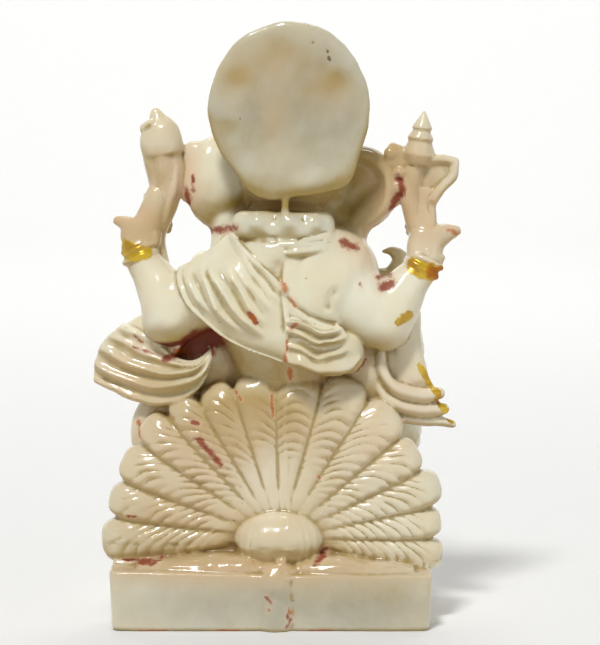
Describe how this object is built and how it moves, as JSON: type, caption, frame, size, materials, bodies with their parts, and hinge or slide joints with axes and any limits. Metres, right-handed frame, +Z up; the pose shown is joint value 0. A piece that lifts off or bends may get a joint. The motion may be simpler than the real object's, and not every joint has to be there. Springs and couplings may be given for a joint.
{
  "type": "ganesha statue",
  "caption": "Small cast figure of a seated, four-armed, elephant-headed Ganesha with a halo and a fan of feathers behind it, in one piece with its plinth.",
  "frame": {"origin": "centre of the plinth's underside", "axes": "+Z up, the figure faces -Y, its left side is towards +X"},
  "size_m": [0.0812, 0.0496, 0.13],
  "materials": {
    "cast_resin": "glossy ivory resin that lets a little light in, with a pink and ochre wash in the recesses and gold paint on the bracelets"
  },
  "bodies": {
    "root": {"ganesha_statue": "cast_resin"}
  },
  "joints": []
}
